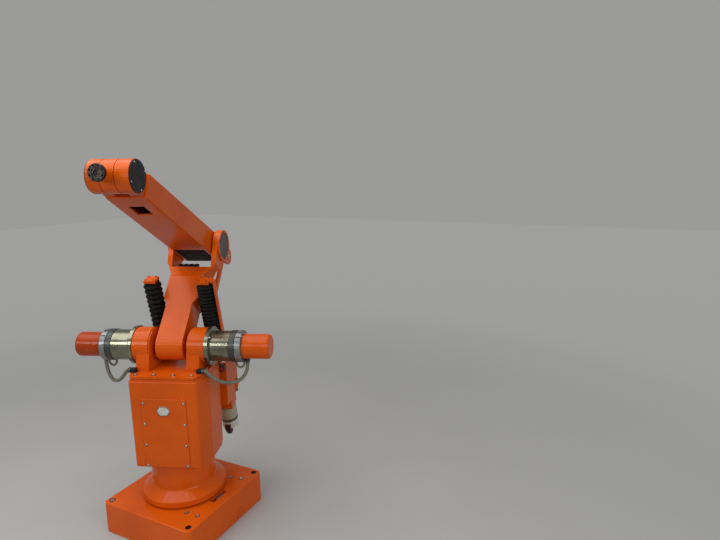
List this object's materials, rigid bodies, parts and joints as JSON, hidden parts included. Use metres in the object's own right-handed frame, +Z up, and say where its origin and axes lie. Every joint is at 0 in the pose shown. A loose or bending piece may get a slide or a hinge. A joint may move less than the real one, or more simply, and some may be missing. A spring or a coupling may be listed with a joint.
{
  "type": "industrial robot arm",
  "caption": "Floor-standing industrial robot arm with a slewing column, two swinging arms, rear screw drives and a two-axis wrist.",
  "frame": {"origin": "centre of the base plate's underside, under the slewing axis", "axes": "+Z up along the slewing axis; X and Y square to the base plate's sides; at rest the arm points forward in the vertical plane turned 21 degrees from -Y towards +X"},
  "size_m": [0.7106, 0.859, 1.3759],
  "materials": {
    "orange_paint": "satin",
    "passivated_metal": "satin",
    "cast_metal": "matte",
    "dark_cover": "satin",
    "bright_steel": "satin",
    "dark_steel": "satin",
    "black_rubber": "matte",
    "cable_sheath": "matte",
    "plain_plate": "satin",
    "connector": "matte"
  },
  "bodies": {
    "base": {"base_plate": "orange_paint", "slew_ring": "dark_steel", "stop_block": "bright_steel"},
    "column": {"column_foot": "orange_paint", "column_body": "orange_paint", "column_lid": "orange_paint", "front_cover": "orange_paint", "blank_plate": "plain_plate", "shoulder_housing": "orange_paint", "left_motor_body": "passivated_metal", "left_motor_ring": "cast_metal", "left_motor_cap": "orange_paint", "left_trunnion_bracket": "orange_paint", "left_cable_1": "cable_sheath", "left_cable_2": "cable_sheath", "left_cable_gland": "dark_cover", "right_motor_body": "passivated_metal", "right_motor_ring": "cast_metal", "right_motor_cap": "orange_paint", "right_trunnion_bracket": "orange_paint", "right_cable_1": "cable_sheath", "right_cable_2": "cable_sheath", "right_cable_gland": "dark_cover"},
    "lower_arm": {"lower_arm_casting": "orange_paint", "lower_arm_crank": "orange_paint", "left_elbow_cap": "cast_metal", "right_elbow_cap": "cast_metal"},
    "elbow_pin": {"elbow_shaft": "bright_steel"},
    "upper_arm": {"upper_arm_box": "orange_paint", "left_wrist_cap": "dark_cover", "right_wrist_cap": "dark_cover"},
    "wrist": {"wrist_hub": "orange_paint"},
    "tool": {"tool_flange": "dark_steel"},
    "lever": {"rear_lever": "orange_paint"},
    "rod_pin": {"rod_lower_pin": "bright_steel"},
    "rod": {"parallel_rod": "orange_paint"},
    "lower_drive": {"lower_drive_yoke": "orange_paint", "lower_drive_motor": "passivated_metal", "lower_drive_plug": "connector", "lower_drive_screw": "bright_steel", "lower_drive_cap": "orange_paint", "lower_bellows": "black_rubber"},
    "lower_nut": {"lower_nut": "dark_steel"},
    "upper_drive": {"upper_drive_yoke": "orange_paint", "upper_drive_motor": "passivated_metal", "upper_drive_plug": "connector", "upper_drive_screw": "bright_steel", "upper_drive_cap": "orange_paint", "upper_bellows": "black_rubber", "guide_rail": "orange_paint"},
    "upper_nut": {"upper_nut": "dark_steel"}
  },
  "joints": [
    {"name": "slew", "type": "hinge", "parent": "base", "child": "column", "pos_m": [0, 0, 0.12], "axis": [0, 0, 1], "range_deg": [-170, 170]},
    {"name": "lower_arm_swing", "type": "hinge", "parent": "column", "child": "lower_arm", "pos_m": [0, 0, 0.7], "axis": [0.9336, 0.3584, 0], "range_deg": [0, 80]},
    {"name": "elbow_pin_turn", "type": "hinge", "parent": "lower_arm", "child": "elbow_pin", "pos_m": [-0.10874, 0.28328, 1.03231], "axis": [0.9336, 0.3584, 0], "range_deg": [-80.01, 0.01]},
    {"name": "upper_arm_swing", "type": "hinge", "parent": "elbow_pin", "child": "upper_arm", "pos_m": [-0.10874, 0.28328, 1.03231], "axis": [0.9336, 0.3584, 0], "range_deg": [0, 33]},
    {"name": "wrist_tilt", "type": "hinge", "parent": "upper_arm", "child": "wrist", "pos_m": [0.10743, -0.27987, 1.32391], "axis": [0.9336, 0.3584, 0], "range_deg": [-108.5, 71.5]},
    {"name": "tool_turn", "type": "hinge", "parent": "wrist", "child": "tool", "pos_m": [0.13788, -0.37315, 1.33646], "axis": [0.3555, -0.926, 0.1271], "range_deg": [-180, 180]},
    {"name": "lever_turn", "type": "hinge", "parent": "column", "child": "lever", "pos_m": [0, 0, 0.7], "axis": [0.9336, 0.3584, 0], "range_deg": [-0.01, 33.01]},
    {"name": "rod_pin_turn", "type": "hinge", "parent": "lever", "child": "rod_pin", "pos_m": [-0.05162, 0.13448, 0.63036], "axis": [0.9336, 0.3584, 0], "range_deg": [-33.01, 0.01]},
    {"name": "rod_swing", "type": "hinge", "parent": "rod_pin", "child": "rod", "pos_m": [-0.05162, 0.13448, 0.63036], "axis": [0.9336, 0.3584, 0], "range_deg": [-0.01, 80.01]},
    {"name": "lower_drive_tilt", "type": "hinge", "parent": "column", "child": "lower_drive", "pos_m": [-0.16995, 0.15113, 0.461], "axis": [0.9336, 0.3584, 0], "range_deg": [-3.13, 0.01]},
    {"name": "lower_nut_slide", "type": "slide", "parent": "lower_drive", "child": "lower_nut", "axis": [0.0967, -0.2518, 0.9629], "range_m": [-0.0001, 0.23678], "deforming": ["lower_bellows"]},
    {"name": "upper_drive_tilt", "type": "hinge", "parent": "column", "child": "upper_drive", "pos_m": [0.02517, 0.22603, 0.461], "axis": [0.9336, 0.3584, 0], "range_deg": [-1.36, 0.01]},
    {"name": "upper_nut_slide", "type": "slide", "parent": "upper_drive", "child": "upper_nut", "axis": [0.1018, -0.2651, 0.9588], "range_m": [-0.0001, 0.07691], "deforming": ["upper_bellows"]}
  ],
  "couplings": [
    {"joint": "elbow_pin_turn", "follows": "lower_arm_swing", "ratio": -1},
    {"joint": "rod_swing", "follows": "lower_arm_swing", "ratio": 1},
    {"joint": "lower_drive_tilt", "follows": "lower_arm_swing", "ratio": -0.03901},
    {"joint": "lower_nut_slide", "follows": "lower_arm_swing", "m_per_rad": 0.16951},
    {"joint": "lever_turn", "follows": "upper_arm_swing", "ratio": 1},
    {"joint": "rod_pin_turn", "follows": "upper_arm_swing", "ratio": -1},
    {"joint": "upper_drive_tilt", "follows": "upper_arm_swing", "ratio": -0.041019},
    {"joint": "upper_nut_slide", "follows": "upper_arm_swing", "m_per_rad": 0.13337}
  ]
}
